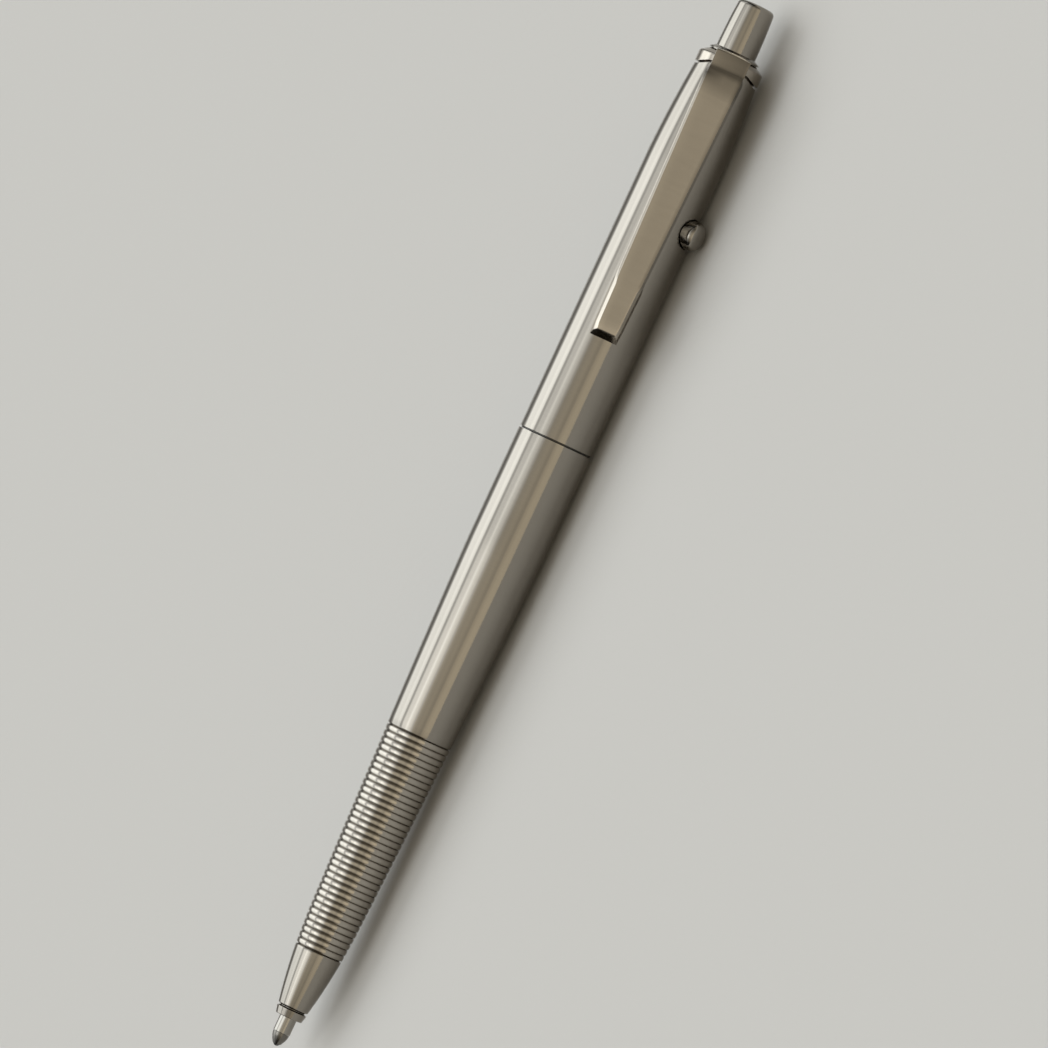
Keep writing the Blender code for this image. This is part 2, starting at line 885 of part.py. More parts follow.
def build_clip(parent, material):
    cup = clip_cup(parent)
    tongue = clip_tongue(parent)
    clip = add_object("clip", tongue.data.copy(), parent, material)
    cut(clip, cup, "UNION")
    bpy.data.objects.remove(tongue, do_unlink=True)


def resting_turn():
    """How far the button points away from straight down when barrel and button both touch the desk."""
    along = button_top - button_edge_radius
    across = button_radius - button_edge_radius
    reach = math.hypot(along, across)
    return math.atan2(across, along) + math.acos((barrel_radius - button_edge_radius) / reach)


def lay_on_desk(pen):
    """Turn the pen on to its side and set the middle of its underside on the origin."""
    lift = resting_turn() + button_turn - math.radians(90)
    right = Vector((0, -math.sin(lift), -math.cos(lift)))
    back = Vector((0, math.cos(lift), -math.sin(lift)))
    up = Vector((1, 0, 0))
    turn = Matrix((right, back, up)).transposed().to_4x4()
    pen.matrix_world = turn
    bpy.context.view_layer.update()
    depsgraph = bpy.context.evaluated_depsgraph_get()
    low = Vector((math.inf,) * 3)
    high = Vector((-math.inf,) * 3)
    for thing in bpy.data.objects:
        if thing.type == "EMPTY" or thing.hide_render:
            continue
        evaluated = thing.evaluated_get(depsgraph)
        mesh = evaluated.to_mesh()
        for vertex in mesh.vertices:
            place = evaluated.matrix_world @ vertex.co
            low = Vector(map(min, low, place))
            high = Vector(map(max, high, place))
        evaluated.to_mesh_clear()
    shift = Vector((-(low.x + high.x) / 2, -(low.y + high.y) / 2, -low.z))
    pen.matrix_world = Matrix.Translation(shift) @ turn
    size = (high - low) * 1000
    print(f"size {size.x:.3f} x {size.y:.3f} x {size.z:.3f} mm")
    print(f"clip faces {math.degrees(lift):.3f} degrees above level")
    for label, height in (("ball", ball_radius), ("plunger top", plunger_top), ("button", button_height)):
        place = pen.matrix_world @ Vector((0, 0, height))
        print(f"axis at the {label}: {place.x:.6f} {place.y:.6f} {place.z:.6f}")
    inward = turn @ Vector((-math.sin(button_turn), math.cos(button_turn), 0))
    print(f"button slides in along {inward.x:.6f} {inward.y:.6f} {inward.z:.6f}")


def build_pen():
    satin = metal("satin_turned_metal", (0.52, 0.48, 0.41), 0.26)
    pressed = metal("pressed_clip_metal", (0.50, 0.46, 0.39), 0.22)
    plain = metal("plain_turned_metal", (0.56, 0.54, 0.50), 0.30)
    brass = metal("refill_brass", (0.72, 0.58, 0.32), 0.30)
    bright = metal("bright_point_metal", (0.66, 0.64, 0.60), 0.18)
    hard = metal("hard_ball_metal", (0.35, 0.35, 0.36), 0.20)
    wire = metal("spring_wire", (0.58, 0.57, 0.55), 0.25)
    plastic = metal("float_plastic", (0.80, 0.80, 0.76), 0.45, 0.0)
    ink = metal("ink", (0.02, 0.02, 0.03), 0.30, 0.0)

    pen = add_empty("pen")
    upper = add_empty("upper_body", pen)
    front = add_empty("front_body", pen)
    slider = add_empty("plunger_slide", pen)
    refill = add_empty("refill_slide", pen)
    release = add_empty("button_slide", pen)
    release.matrix_local = button_place()

    build_front_barrel(front, satin)
    build_nose_ferrule(front, satin)
    build_upper_barrel(upper, satin)
    build_coupling(upper, plain)
    build_housing(upper, plain)
    build_clip_bush(upper, satin)
    build_clip(upper, pressed)
    build_plunger(slider, satin)
    build_thrust_sleeve(slider, plain)
    build_thrust_pad(slider, plain)
    build_release_button(release, satin)
    build_catch_stem(release, plain)
    build_button_spring(release, wire)
    build_refill_tube(refill, brass)
    build_refill_stem(refill, bright)
    build_refill_point(refill, bright)
    build_writing_ball(refill, hard)
    build_refill_float(refill, plastic)
    build_end_plug(refill, brass)
    build_ink_column(refill, ink)
    build_refill_spring(refill, wire)
    lay_on_desk(pen)


clear_scene()
build_pen()
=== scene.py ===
"""A slim turned-metal pen with a side release button, lying on a pale desk.

The pen rests on its barrel and its button, point towards -X and clip towards the camera.  Its pieces are
drawn upright in the pen's own axes, with the tip of the ball at height 0, and are then laid on the desk.
"""

import json
import math

import bmesh
import bpy
from mathutils import Matrix, Vector


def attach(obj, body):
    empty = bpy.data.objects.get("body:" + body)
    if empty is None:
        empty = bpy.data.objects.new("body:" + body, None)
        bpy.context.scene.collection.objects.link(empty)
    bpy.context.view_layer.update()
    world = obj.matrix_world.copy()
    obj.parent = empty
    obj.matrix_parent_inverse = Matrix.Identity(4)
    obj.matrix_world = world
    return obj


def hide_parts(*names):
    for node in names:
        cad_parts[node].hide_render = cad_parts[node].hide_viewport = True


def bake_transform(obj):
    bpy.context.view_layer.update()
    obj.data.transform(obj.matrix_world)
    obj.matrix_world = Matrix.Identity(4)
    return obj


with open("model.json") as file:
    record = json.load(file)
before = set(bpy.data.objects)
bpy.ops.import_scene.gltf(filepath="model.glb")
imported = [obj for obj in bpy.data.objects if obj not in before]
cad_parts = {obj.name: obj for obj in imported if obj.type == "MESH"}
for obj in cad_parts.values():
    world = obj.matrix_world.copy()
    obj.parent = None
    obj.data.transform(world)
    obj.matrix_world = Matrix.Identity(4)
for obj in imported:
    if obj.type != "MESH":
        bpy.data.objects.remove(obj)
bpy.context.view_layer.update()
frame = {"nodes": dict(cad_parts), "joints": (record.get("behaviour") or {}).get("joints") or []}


# The pen's own axes on the desk.
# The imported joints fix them: the ball's hinge stands on the pen's axis, and the button slides straight
# at it from 62 degrees round, seen from the clip.
mm = 0.001
joints = {joint["name"]: joint for joint in frame["joints"]}
ball_radius = 0.45 * mm
button_turn = math.radians(62)
pen_up = Vector((1, 0, 0))
button_out = -Vector(joints["button_travel"]["axis"]).normalized()
pen_right = math.sin(button_turn) * button_out + math.cos(button_turn) * pen_up.cross(button_out)
pen_back = pen_up.cross(pen_right)
pen_tip = Vector(joints["ball_roll"]["pos_m"]) - ball_radius * pen_up
pen_place = Matrix.Translation(pen_tip) @ Matrix((pen_right, pen_back, pen_up)).transposed().to_4x4()


# Desk, light and camera.
# The desk is a pale matt sheet.  One soft tent of light hangs over it: a bright overhead band behind the
# pen, a warm card low in front, and dimmer ends, which draw the long stripes in the turned metal.
desk_width = 8.0
desk_colour = (0.56, 0.543, 0.515)
desk_roughness = 0.8
desk_sheen = 0.15
desk_grain_scale = 900
desk_grain_detail = 3
desk_grain_height = 0.02 * mm

# The light's colour by its angle over the pen, in degrees from low in front (0) to low behind (180).
light_stripes = (
    (2, (1.00, 0.91, 0.73)),
    (13, (1.00, 0.91, 0.73)),
    (21, (0.88, 0.80, 0.65)),
    (28, (0.66, 0.61, 0.51)),
    (40, (0.79, 0.73, 0.61)),
    (56, (0.72, 0.68, 0.59)),
    (62, (0.92, 0.92, 0.90)),
    (68, (1.40, 1.42, 1.40)),
    (73, (1.58, 1.62, 1.62)),
    (81, (2.05, 2.12, 2.14)),
    (88, (1.58, 1.62, 1.64)),
    (98, (1.62, 1.67, 1.69)),
    (103, (1.05, 1.08, 1.10)),
    (107, (1.15, 1.19, 1.21)),
    (112, (2.75, 2.88, 2.96)),
    (120, (3.00, 3.14, 3.22)),
    (128, (2.65, 2.78, 2.85)),
    (147, (2.65, 2.76, 2.82)),
    (155, (0.95, 0.97, 0.97)),
    (163, (0.33, 0.33, 0.32)),
    (180, (0.33, 0.33, 0.32)),
)
# The light's level by its direction along the pen, from -1 beyond the point to 1 beyond the plunger:
# low in front, then higher up, then overhead and behind.
front_levels = (
    (-1.0, 0.02), (-0.88, 0.03), (-0.76, 0.30), (-0.60, 0.62), (-0.50, 0.62), (-0.42, 0.85),
    (-0.20, 0.98), (-0.06, 1.05), (0.0, 1.0), (0.10, 0.97), (0.24, 0.90), (0.34, 0.76),
    (0.50, 0.55), (0.62, 0.40), (0.74, 0.26), (0.80, 0.25), (0.90, 0.45), (1.0, 0.55),
)
high_levels = (
    (-1.0, 0.02), (-0.88, 0.04), (-0.76, 0.30), (-0.52, 0.60), (-0.42, 1.4), (-0.08, 1.5), (0.0, 1.0),
    (0.08, 0.90), (0.20, 0.80), (0.32, 0.60), (0.50, 0.40), (0.74, 0.28), (0.88, 0.04), (1.0, 0.02),
)
top_levels = (
    (-1.0, 0.02), (-0.88, 0.04), (-0.74, 0.30), (-0.52, 0.45), (-0.42, 0.68), (-0.20, 0.78),
    (-0.06, 0.92), (0.0, 1.0), (0.10, 0.92), (0.25, 0.75), (0.44, 0.42), (0.74, 0.30), (0.88, 0.04),
    (1.0, 0.02),
)
# Where one set of levels hands over to the next, in degrees over the pen.
high_handover = (45, 62)
top_handover = (95, 110)
# A colour ramp works best between 0 and 1, so these take the colours and the levels down to that range,
# and the light's strength makes up for both.
stripe_scale = 3.1
level_scale = 1.6
half_turn = 180
light_map_width = 1024


def new_material(name):
    material = bpy.data.materials.new(name)
    material.use_nodes = True
    tree = material.node_tree
    return material, tree, tree.nodes["Principled BSDF"]


def noise(tree, place, scale, detail, roughness=0.5):
    """Cloudy noise over the places given, from 0 to 1."""
    node = tree.nodes.new("ShaderNodeTexNoise")
    for name, value in (("Scale", scale), ("Detail", detail), ("Roughness", roughness)):
        node.inputs[name].default_value = value
    tree.links.new(place, node.inputs["Vector"])
    return node.outputs["Fac"]


def roughen(tree, shader, height, depth):
    """Let the surface rise with the height, by the depth at most."""
    bump = tree.nodes.new("ShaderNodeBump")
    bump.inputs["Distance"].default_value = depth
    tree.links.new(height, bump.inputs["Height"])
    tree.links.new(bump.outputs["Normal"], shader.inputs["Normal"])


def split(tree, place):
    """The x, y and z of a place or direction."""
    parts = tree.nodes.new("ShaderNodeSeparateXYZ")
    tree.links.new(place, parts.inputs["Vector"])
    return (parts.outputs[axis] for axis in "XYZ")


def ramp(tree, stops, source):
    """A colour ramp whose stops are (place, colour), fed by the source."""
    node = tree.nodes.new("ShaderNodeValToRGB")
    node.color_ramp.interpolation = "EASE"
    elements = node.color_ramp.elements
    while len(elements) < len(stops):
        elements.new(0.5)
    for element, (place, colour) in zip(elements, stops):
        element.position = place
        element.color = (*colour, 1)
    tree.links.new(source, node.inputs["Fac"])
    return node.outputs["Color"]


def math_node(tree, operation, *values):
    node = tree.nodes.new("ShaderNodeMath")
    node.operation = operation
    for socket, value in zip(node.inputs, values):
        if isinstance(value, (int, float)):
            socket.default_value = value
        else:
            tree.links.new(value, socket)
    return node.outputs["Value"]


def mix_colour(tree, factor, first, second, blend="MIX"):
    node = tree.nodes.new("ShaderNodeMix")
    node.data_type = "RGBA"
    node.blend_type = blend
    for name, value in (("Factor", factor), ("A", first), ("B", second)):
        if isinstance(value, float):
            node.inputs[name].default_value = value
        else:
            tree.links.new(value, node.inputs[name])
    return node.outputs["Result"]


def build_desk():
    material, tree, shader = new_material("pale_desk")
    place = tree.nodes.new("ShaderNodeTexCoord").outputs["Object"]
    roughen(tree, shader, noise(tree, place, desk_grain_scale, desk_grain_detail), desk_grain_height)
    shader.inputs["Base Color"].default_value = (*desk_colour, 1)
    shader.inputs["Roughness"].default_value = desk_roughness
    shader.inputs["Specular IOR Level"].default_value = desk_sheen
    work = bmesh.new()
    bmesh.ops.create_grid(work, x_segments=1, y_segments=1, size=desk_width / 2)
    mesh = bpy.data.meshes.new("desk")
    work.to_mesh(mesh)
    work.free()
    mesh.materials.append(material)
    desk = bpy.data.objects.new("desk", mesh)
    bpy.context.scene.collection.objects.link(desk)


def build_light():
    """Light by direction: stripes go round with the angle over the pen, and the ends are dim."""
    world = bpy.data.worlds.new("soft_tent")
    bpy.context.scene.world = world
    world.use_nodes = True
    tree = world.node_tree
    background = tree.nodes["Background"]
    x, y, z = split(tree, tree.nodes.new("ShaderNodeTexCoord").outputs["Generated"])
    over = math_node(tree, "ARCTAN2", z, math_node(tree, "MULTIPLY", y, -1.0))
    over = math_node(tree, "DIVIDE", over, math.pi)
    stops = [
        (angle / half_turn, tuple(level / stripe_scale for level in colour))
        for angle, colour in light_stripes
    ]
    stripes = ramp(tree, stops, over)
    along = math_node(tree, "MULTIPLY_ADD", x, 0.5, 0.5)
    lengthwise, high, top = (
        ramp(tree, [((1 + at) / 2, (level / level_scale,) * 3) for at, level in levels], along)
        for levels in (front_levels, high_levels, top_levels)
    )
    for (start, end), levels in ((high_handover, high), (top_handover, top)):
        share = tree.nodes.new("ShaderNodeMapRange")
        share.interpolation_type = "SMOOTHSTEP"
        share.inputs["From Min"].default_value = start / half_turn
        share.inputs["From Max"].default_value = end / half_turn
        tree.links.new(over, share.inputs["Value"])
        lengthwise = mix_colour(tree, share.outputs["Result"], lengthwise, levels)
    light = mix_colour(tree, 1.0, stripes, lengthwise, "MULTIPLY")
    tree.links.new(light, background.inputs["Color"])
    background.inputs["Strength"].default_value = stripe_scale * level_scale
    world.cycles.sampling_method = "MANUAL"
    world.cycles.sample_map_resolution = light_map_width


def build_camera():
    """Seen square to the pen, from in front of the clip, with the pen leaning to the right."""
    view_height = math.radians(28.623)
    lean = math.radians(24.88)
    aim = Vector((0.481 * mm, 0.485 * mm, 3.948 * mm))
    distance = 1.2
    frame_width = 120.46 * mm
    sensor = 36.0
    towards = Vector((0, -math.cos(view_height), math.sin(view_height)))
    across = towards.cross(pen_up).normalized()
    right = math.cos(lean) * -across + math.sin(lean) * pen_up
    up = math.cos(lean) * pen_up + math.sin(lean) * across
    data = bpy.data.cameras.new("camera")
    data.sensor_width = sensor
    data.lens = sensor * distance / frame_width
    camera = bpy.data.objects.new("camera", data)
    bpy.context.scene.collection.objects.link(camera)
    turn = Matrix((right, up, towards)).transposed().to_4x4()
    camera.matrix_world = Matrix.Translation(aim + distance * towards) @ turn
    bpy.context.scene.camera = camera
    bpy.context.scene.view_settings.view_transform = "Standard"


build_desk()
build_light()
build_camera()


# Front barrel.
# Turned from bar metal with a fine satin finish: a long easy taper, thirty-six rounded ribs to grip by
# and a short nose cone.  Its bore is threaded at the top, where it screws onto the coupling.
front_barrel_bottom = 4.72 * mm
grip_bottom = 11.86 * mm
rib_count = 36
rib_pitch = 0.758 * mm
rib_cut = 0.17 * mm
rib_power = 3.6
# Painted highlight: how much brighter the crests of the ribs are painted.
rib_highlight_share = 0.3
rib_shares = (1.0, 0.94, 0.88, 0.81, 0.72, 0.60, 0.40, 0.28, 0.19, 0.12, 0.06)
end_groove_extra = 0.08 * mm
end_groove_share = 0.1
end_groove_shares = (0.28, 0.19, 0.12, 0.06)
grip_top = grip_bottom + rib_count * rib_pitch
taper_top = grip_top + 24.0 * mm
front_barrel_top = taper_top + 13.2 * mm
barrel_radius = 4.56 * mm
nose_radius = 1.82 * mm
taper_drop = 1.80 * mm
taper_power = 1.25
nose_blend_length = 13.3 * mm
nose_power = 2.4
nose_start = grip_bottom - 0.4 * mm
nose_end = front_barrel_bottom + 0.3 * mm
nose_corner = front_barrel_bottom + 0.1 * mm
nose_face = front_barrel_bottom - 0.06 * mm
nose_bore = 1.50 * mm
nose_bore_edge = 1.54 * mm
spring_bore = 2.30 * mm
spring_bore_bottom = 12.5 * mm
spring_bore_top = 26.05 * mm
refill_bore = 2.75 * mm
socket_bore = 3.55 * mm
socket_bottom = 66.75 * mm
seam_closing = 0.02 * mm
seam_easing = 0.02 * mm
satin_colour = (0.285, 0.262, 0.228)
merge_distance = 0.0005 * mm
sharp_corner = math.radians(33)
barrel_steps = 128
small_steps = 96


def make_piece(name, work, material, slot, *nodes):
    """Make the shape one piece of the pen: its faces smooth, its corners sharp, laid on the desk."""
    bmesh.ops.remove_doubles(work, verts=work.verts, dist=merge_distance)
    bmesh.ops.recalc_face_normals(work, faces=work.faces)
    for face in work.faces:
        face.smooth = True
    for edge in work.edges:
        edge.smooth = edge.calc_face_angle(0) < sharp_corner
    bmesh.ops.transform(work, matrix=pen_place, verts=work.verts)
    mesh = bpy.data.meshes.new(name)
    work.to_mesh(mesh)
    work.free()
    mesh.materials.append(material)
    piece = bpy.data.objects.new(name, mesh)
    bpy.context.scene.collection.objects.link(piece)
    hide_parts(*nodes)
    return piece


def link_piece(name, work, material, body, slot, *nodes):
    """A piece that rides on one body."""
    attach(make_piece(name, work, material, slot, *nodes), body)


def eased(corners):
    """An outline whose corners (radius, height, easing) become small arcs with a point either side."""
    points = []
    steps = 3
    for i, corner in enumerate(corners):
        here = Vector(corner[:2])
        easing = corner[2] if len(corner) > 2 else 0
        if not easing:
            points.append(here)
            continue
        back = (Vector(corners[i - 1][:2]) - here).normalized()
        ahead = (Vector(corners[(i + 1) % len(corners)][:2]) - here).normalized()
        start, end = here + back * easing, here + ahead * easing
        points.append(start + back * easing / 2)
        for step in range(steps + 1):
            t = step / steps
            points.append(start * (1 - t) ** 2 + here * 2 * t * (1 - t) + end * t**2)
        points.append(end + ahead * easing / 2)
    return [tuple(point) for point in points]


def turned(outline, steps=barrel_steps):
    """Spin an outline of (radius, height) round the pen's axis into a closed shape."""
    work = bmesh.new()
    line = [work.verts.new((radius, 0, height)) for radius, height in outline]
    edges = [work.edges.new(pair) for pair in zip(line, line[1:])]
    if outline[0][0] > 0:
        edges.append(work.edges.new((line[-1], line[0])))
    bmesh.ops.spin(
        work, geom=line + edges, cent=(0, 0, 0), axis=(0, 0, 1), dvec=(0, 0, 0),
        angle=2 * math.pi, steps=steps, use_merge=True, use_duplicate=False,
    )
    return work


def evenly(start, end, steps):
    """Places from the start to the end, the given number of even steps apart."""
    return [start + (end - start) * i / steps for i in range(steps + 1)]


def front_radius(height):
    """The long taper, with the rounder drop to the nose taken off it."""
    below = max(0.0, taper_top - height) / (taper_top - front_barrel_bottom)
    nose = max(0.0, front_barrel_bottom + nose_blend_length - height) / nose_blend_length
    nose_drop = barrel_radius - taper_drop - nose_radius
    return barrel_radius - taper_drop * below**taper_power - nose_drop * nose**nose_power


def turned_marks_group():
    """Fine marks that run round a turned piece, with faint marks of handling over them.

    A piece's painted light, where it has any, brightens or dulls its colour from point to point, as painted
    highlight or painted shade.
    """
    round_scale = 220
    mark_detail, mark_roughness = 4, 0.65
    smudge_scale, smudge_detail = 160, 5
    group = bpy.data.node_groups.new("turned_marks", "ShaderNodeTree")
    for name, value in (
        ("Mark Width", 0.07), ("Colour Change", 0.10), ("Roughness", 0.16), ("Roughness Change", 0.05),
    ):
        socket = group.interface.new_socket(name, in_out="INPUT", socket_type="NodeSocketFloat")
        socket.default_value = value
    group.interface.new_socket("Colour", in_out="INPUT", socket_type="NodeSocketColor")
    group.interface.new_socket("Colour", in_out="OUTPUT", socket_type="NodeSocketColor")
    group.interface.new_socket("Roughness", in_out="OUTPUT", socket_type="NodeSocketFloat")
    group.interface.new_socket("Height", in_out="OUTPUT", socket_type="NodeSocketFloat")
    given = group.nodes.new("NodeGroupInput").outputs
    result = group.nodes.new("NodeGroupOutput").inputs
    place = group.nodes.new("ShaderNodeTexCoord").outputs["Object"]
    x, y, z = split(group, place)
    marks_per_metre = math_node(group, "DIVIDE", 1 / mm, given["Mark Width"])
    joined = group.nodes.new("ShaderNodeCombineXYZ")
    for axis, value, scale in (("X", x, marks_per_metre), ("Y", y, round_scale), ("Z", z, round_scale)):
        group.links.new(math_node(group, "MULTIPLY", value, scale), joined.inputs[axis])
    marks = noise(group, joined.outputs["Vector"], 1, mark_detail, mark_roughness)
    smudges = noise(group, place, smudge_scale, smudge_detail)
    mark_shade, smudge_shade = (math_node(group, "SUBTRACT", shade, 0.5) for shade in (marks, smudges))
    both = math_node(group, "ADD", mark_shade, smudge_shade)
    # Painted light per point: above 0 a painted highlight, below 0 painted shade.
    painted_light = group.nodes.new("ShaderNodeAttribute")
    painted_light.attribute_name = "painted_light"
    painted_light_level = math_node(group, "ADD", painted_light.outputs["Fac"], 1.0)
    level = math_node(group, "MULTIPLY_ADD", both, given["Colour Change"], painted_light_level)
    tone = group.nodes.new("ShaderNodeVectorMath")
    tone.operation = "SCALE"
    group.links.new(given["Colour"], tone.inputs[0])
    group.links.new(level, tone.inputs["Scale"])
    group.links.new(tone.outputs["Vector"], result["Colour"])
    rough = math_node(group, "MULTIPLY_ADD", both, given["Roughness Change"], given["Roughness"])
    group.links.new(rough, result["Roughness"])
    group.links.new(marks, result["Height"])
    return group


turned_marks = turned_marks_group()


def turned_metal(name, colour, roughness, mark_width=0.07, mark_depth=0.0008, metallic=1.0):
    """Metal left from the lathe: sizes of the marks are in millimetres."""
    material, tree, shader = new_material(name)
    marks = tree.nodes.new("ShaderNodeGroup")
    marks.node_tree = turned_marks
    marks.inputs["Colour"].default_value = (*colour, 1)
    marks.inputs["Roughness"].default_value = roughness
    marks.inputs["Mark Width"].default_value = mark_width
    tree.links.new(marks.outputs["Colour"], shader.inputs["Base Color"])
    tree.links.new(marks.outputs["Roughness"], shader.inputs["Roughness"])
    roughen(tree, shader, marks.outputs["Height"], mark_depth * mm)
    shader.inputs["Metallic"].default_value = metallic
    return material


def shade_points(work, shade):
    """Give each point its painted light, by which its colour is brighter (above 0, painted highlight) or
    duller (below, painted shade).
    """
    layer = work.verts.layers.float.new("painted_light")
    for vert in work.verts:
        vert[layer] = shade(vert.co)


satin_metal = turned_metal("satin_turned_metal", satin_colour, 0.11)


def rib_point(height):
    """A point of the grip's outline: each rib is round in section and parted by a sharp groove."""
    share = (height - grip_bottom) / rib_pitch
    from_middle = abs(share - math.floor(share) - 0.5) * 2
    depth = rib_cut * from_middle**rib_power
    if min(abs(share), abs(share - rib_count)) < end_groove_share:
        depth += end_groove_extra
    return front_radius(height) - depth, height


def rib_points():
    """Ribs from the top of the grip down, with the run in and out of the two end grooves."""
    places = [rib_count + share for share in end_groove_shares]
    places += [rib + share for rib in reversed(range(rib_count)) for share in rib_shares]
    places += [0.0] + [-share for share in reversed(end_groove_shares)]
    return [rib_point(grip_bottom + place * rib_pitch) for place in places]


def rib_painted_highlight(place):
    """Painted highlight: the crests of the ribs are painted brighter."""
    radius, height = place.xy.length, place.z
    if radius < nose_radius or not grip_bottom < height < grip_top:
        return 0.0
    return rib_highlight_share * max(0.0, 1 - (front_radius(height) - radius) / rib_cut)


def build_front_barrel():
    """The outline goes down the outside from the seam to the nose, and back up the bore."""
    taper_steps, nose_steps = 24, 12
    top = front_barrel_top + seam_closing
    outline = [(socket_bore, top, 0.03 * mm), (barrel_radius, top, seam_easing)]
    outline += [(front_radius(height), height) for height in evenly(taper_top, grip_top, taper_steps)[:-1]]
    outline += rib_points()
    outline += [(front_radius(height), height) for height in evenly(nose_start, nose_end, nose_steps)]
    outline += [
        (front_radius(nose_corner), nose_corner, 0.05 * mm),
        (nose_bore_edge, nose_face),
        (nose_bore, nose_face),
        (nose_bore, spring_bore_bottom),
        (spring_bore, spring_bore_bottom),
        (spring_bore, spring_bore_top),
        (refill_bore, spring_bore_top),
        (refill_bore, socket_bottom),
        (socket_bore, socket_bottom),
    ]
    work = turned(eased(outline))
    # Painted highlight on the crests of the ribs.
    shade_points(work, rib_painted_highlight)
    link_piece("front_barrel_turned", work, satin_metal, "front_body", "satin_metal", "front_barrel")


build_front_barrel()


# Nose ferrule.
# A small collar turned from the same metal and finished as the barrel is.  Its neck is pressed into
# the nose, and a fine groove parts the two.
ferrule_bottom = 3.56 * mm
ferrule_widest_at = 4.46 * mm
ferrule_top = 4.62 * mm
ferrule_neck_top = 8.0 * mm
ferrule_foot = 1.61 * mm
ferrule_widest = 1.84 * mm
ferrule_groove = 1.52 * mm
ferrule_neck = 1.45 * mm
ferrule_bore = 1.115 * mm


def build_nose_ferrule():
    outline = [
        (ferrule_neck, ferrule_neck_top),
        (ferrule_neck, ferrule_top),
        (ferrule_groove, ferrule_top),
        (ferrule_widest, ferrule_widest_at, 0.04 * mm),
        (ferrule_foot, ferrule_bottom, 0.07 * mm),
        (ferrule_bore, ferrule_bottom),
        (ferrule_bore, ferrule_neck_top),
    ]
    work = turned(eased(outline))
    link_piece("nose_ferrule_turned", work, satin_metal, "front_body", "satin_metal", "nose_ferrule")


build_nose_ferrule()


# Refill.
# A sealed brass tube, drawn in to a neck.  The neck carries a bright steel stem, the stem a tapered
# point, and the point the writing ball, each pressed or spun into the last.
tube_radius = 2.65 * mm
tube_wall = 0.35 * mm
tube_top = 85.999 * mm
shoulder_low = 26.15 * mm
shoulder_high = 27.35 * mm
neck_radius = 1.45 * mm
neck_bore = 0.95 * mm
neck_bottom = 14.15 * mm
stem_radius = 1.035 * mm
stem_bottom = 1.65 * mm
stem_shoulder = 14.05 * mm
stem_top = 17.05 * mm
stem_plug = 0.90 * mm
stem_feed = 0.35 * mm
point_socket = 0.65 * mm
point_socket_top = 4.7 * mm
point_shank = 0.60 * mm
point_shank_top = 4.6 * mm
point_radius = 0.98 * mm
point_top = 1.6 * mm
point_feed = 0.2 * mm
ball_showing = 0.28 * mm
ball_play = 0.03 * mm
ball_lip = 0.05 * mm
brass = turned_metal("refill_brass", (0.60, 0.47, 0.26), 0.28, 0.12, 0.0012)
bright = turned_metal("bright_stem_metal", (0.31, 0.292, 0.26), 0.10, 0.05, 0.0004)
socket_metal = turned_metal("point_metal", (0.165, 0.155, 0.138), 0.20, 0.04, 0.0006)
hard = turned_metal("hard_ball_metal", (0.12, 0.118, 0.115), 0.25, 0.03, 0.0004)


def point_outline():
    """The point's rounded cone down to the lip, then up round the ball's socket and the ink's feed."""
    steps = 16
    socket = ball_radius + ball_play
    below = ball_radius - ball_showing
    lip = math.sqrt(socket**2 - below**2) + ball_lip
    outline = [(point_shank, point_shank_top), (point_shank, point_top), (point_radius, point_top)]
    for along in evenly(1, 0, steps)[1:]:
        radius = lip + (point_radius - lip) * math.sin(along * math.pi / 2)
        outline.append((radius, ball_showing + (point_top - ball_showing) * along))
    for angle in evenly(-math.asin(below / socket), math.acos(point_feed / socket), steps):
        outline.append((socket * math.cos(angle), ball_radius + socket * math.sin(angle)))
    outline.append((point_feed, point_shank_top))
    return outline


def build_refill():
    tube_bore = tube_radius - tube_wall
    tube = [
        (tube_radius, tube_top, 0.1 * mm),
        (tube_radius, shoulder_high, 0.15 * mm),
        (tube_bore, shoulder_low, 0.15 * mm),
        (neck_radius, shoulder_low, 0.1 * mm),
        (neck_radius, neck_bottom, 0.1 * mm),
        (neck_bore, neck_bottom),
        (neck_bore, shoulder_low + tube_wall),
        (tube_bore, shoulder_high + tube_wall),
        (tube_bore, tube_top),
    ]
    stem = [
        (stem_plug, stem_top),
        (stem_plug, stem_shoulder),
        (stem_radius, stem_shoulder, 0.05 * mm),
        (stem_radius, stem_bottom, 0.05 * mm),
        (point_socket, stem_bottom),
        (point_socket, point_socket_top),
        (stem_feed, point_socket_top),
        (stem_feed, stem_top),
    ]
    work = turned(eased(tube))
    link_piece("refill_tube_drawn", work, brass, "refill_body", "refill_brass", "refill_tube")
    work = turned(eased(stem), small_steps)
    link_piece("refill_stem_turned", work, bright, "refill_body", "point_steel", "refill_stem")
    work = turned(point_outline(), small_steps)
    link_piece("refill_point_turned", work, socket_metal, "refill_body", "point_steel", "refill_point")
    work = bmesh.new()
    bmesh.ops.create_uvsphere(work, u_segments=64, v_segments=32, radius=ball_radius)
    bmesh.ops.translate(work, verts=work.verts, vec=(0, 0, ball_radius))
    link_piece("writing_ball_ground", work, hard, "ball_body", "ball_metal", "writing_ball")


build_refill()


# Upper barrel.
# A turned tube of the same satin metal, drawn in at the top, where its neck takes the clip.  A round
# hole in its side lets the release button through, and the coupling is pressed into its bore.
upper_barrel_bottom = 76.628 * mm
shoulder_bottom = 110.998 * mm
upper_barrel_top = 122.798 * mm
clip_neck_top = 124.098 * mm
upper_radius = 4.50 * mm
shoulder_radius = 3.865 * mm
shoulder_power = 1.7
clip_neck = 3.42 * mm
upper_bore = 3.95 * mm
upper_bore_top = 115.128 * mm
bush_bore = 3.05 * mm
button_height = 104.5 * mm
hole_radius = 1.85 * mm
hole_inner = 2.96 * mm
hole_outer = 6.0 * mm
clip_half_width = 2.3 * mm
relief_height = 0.6 * mm
relief_slope = 0.45
relief_depth = 0.35 * mm


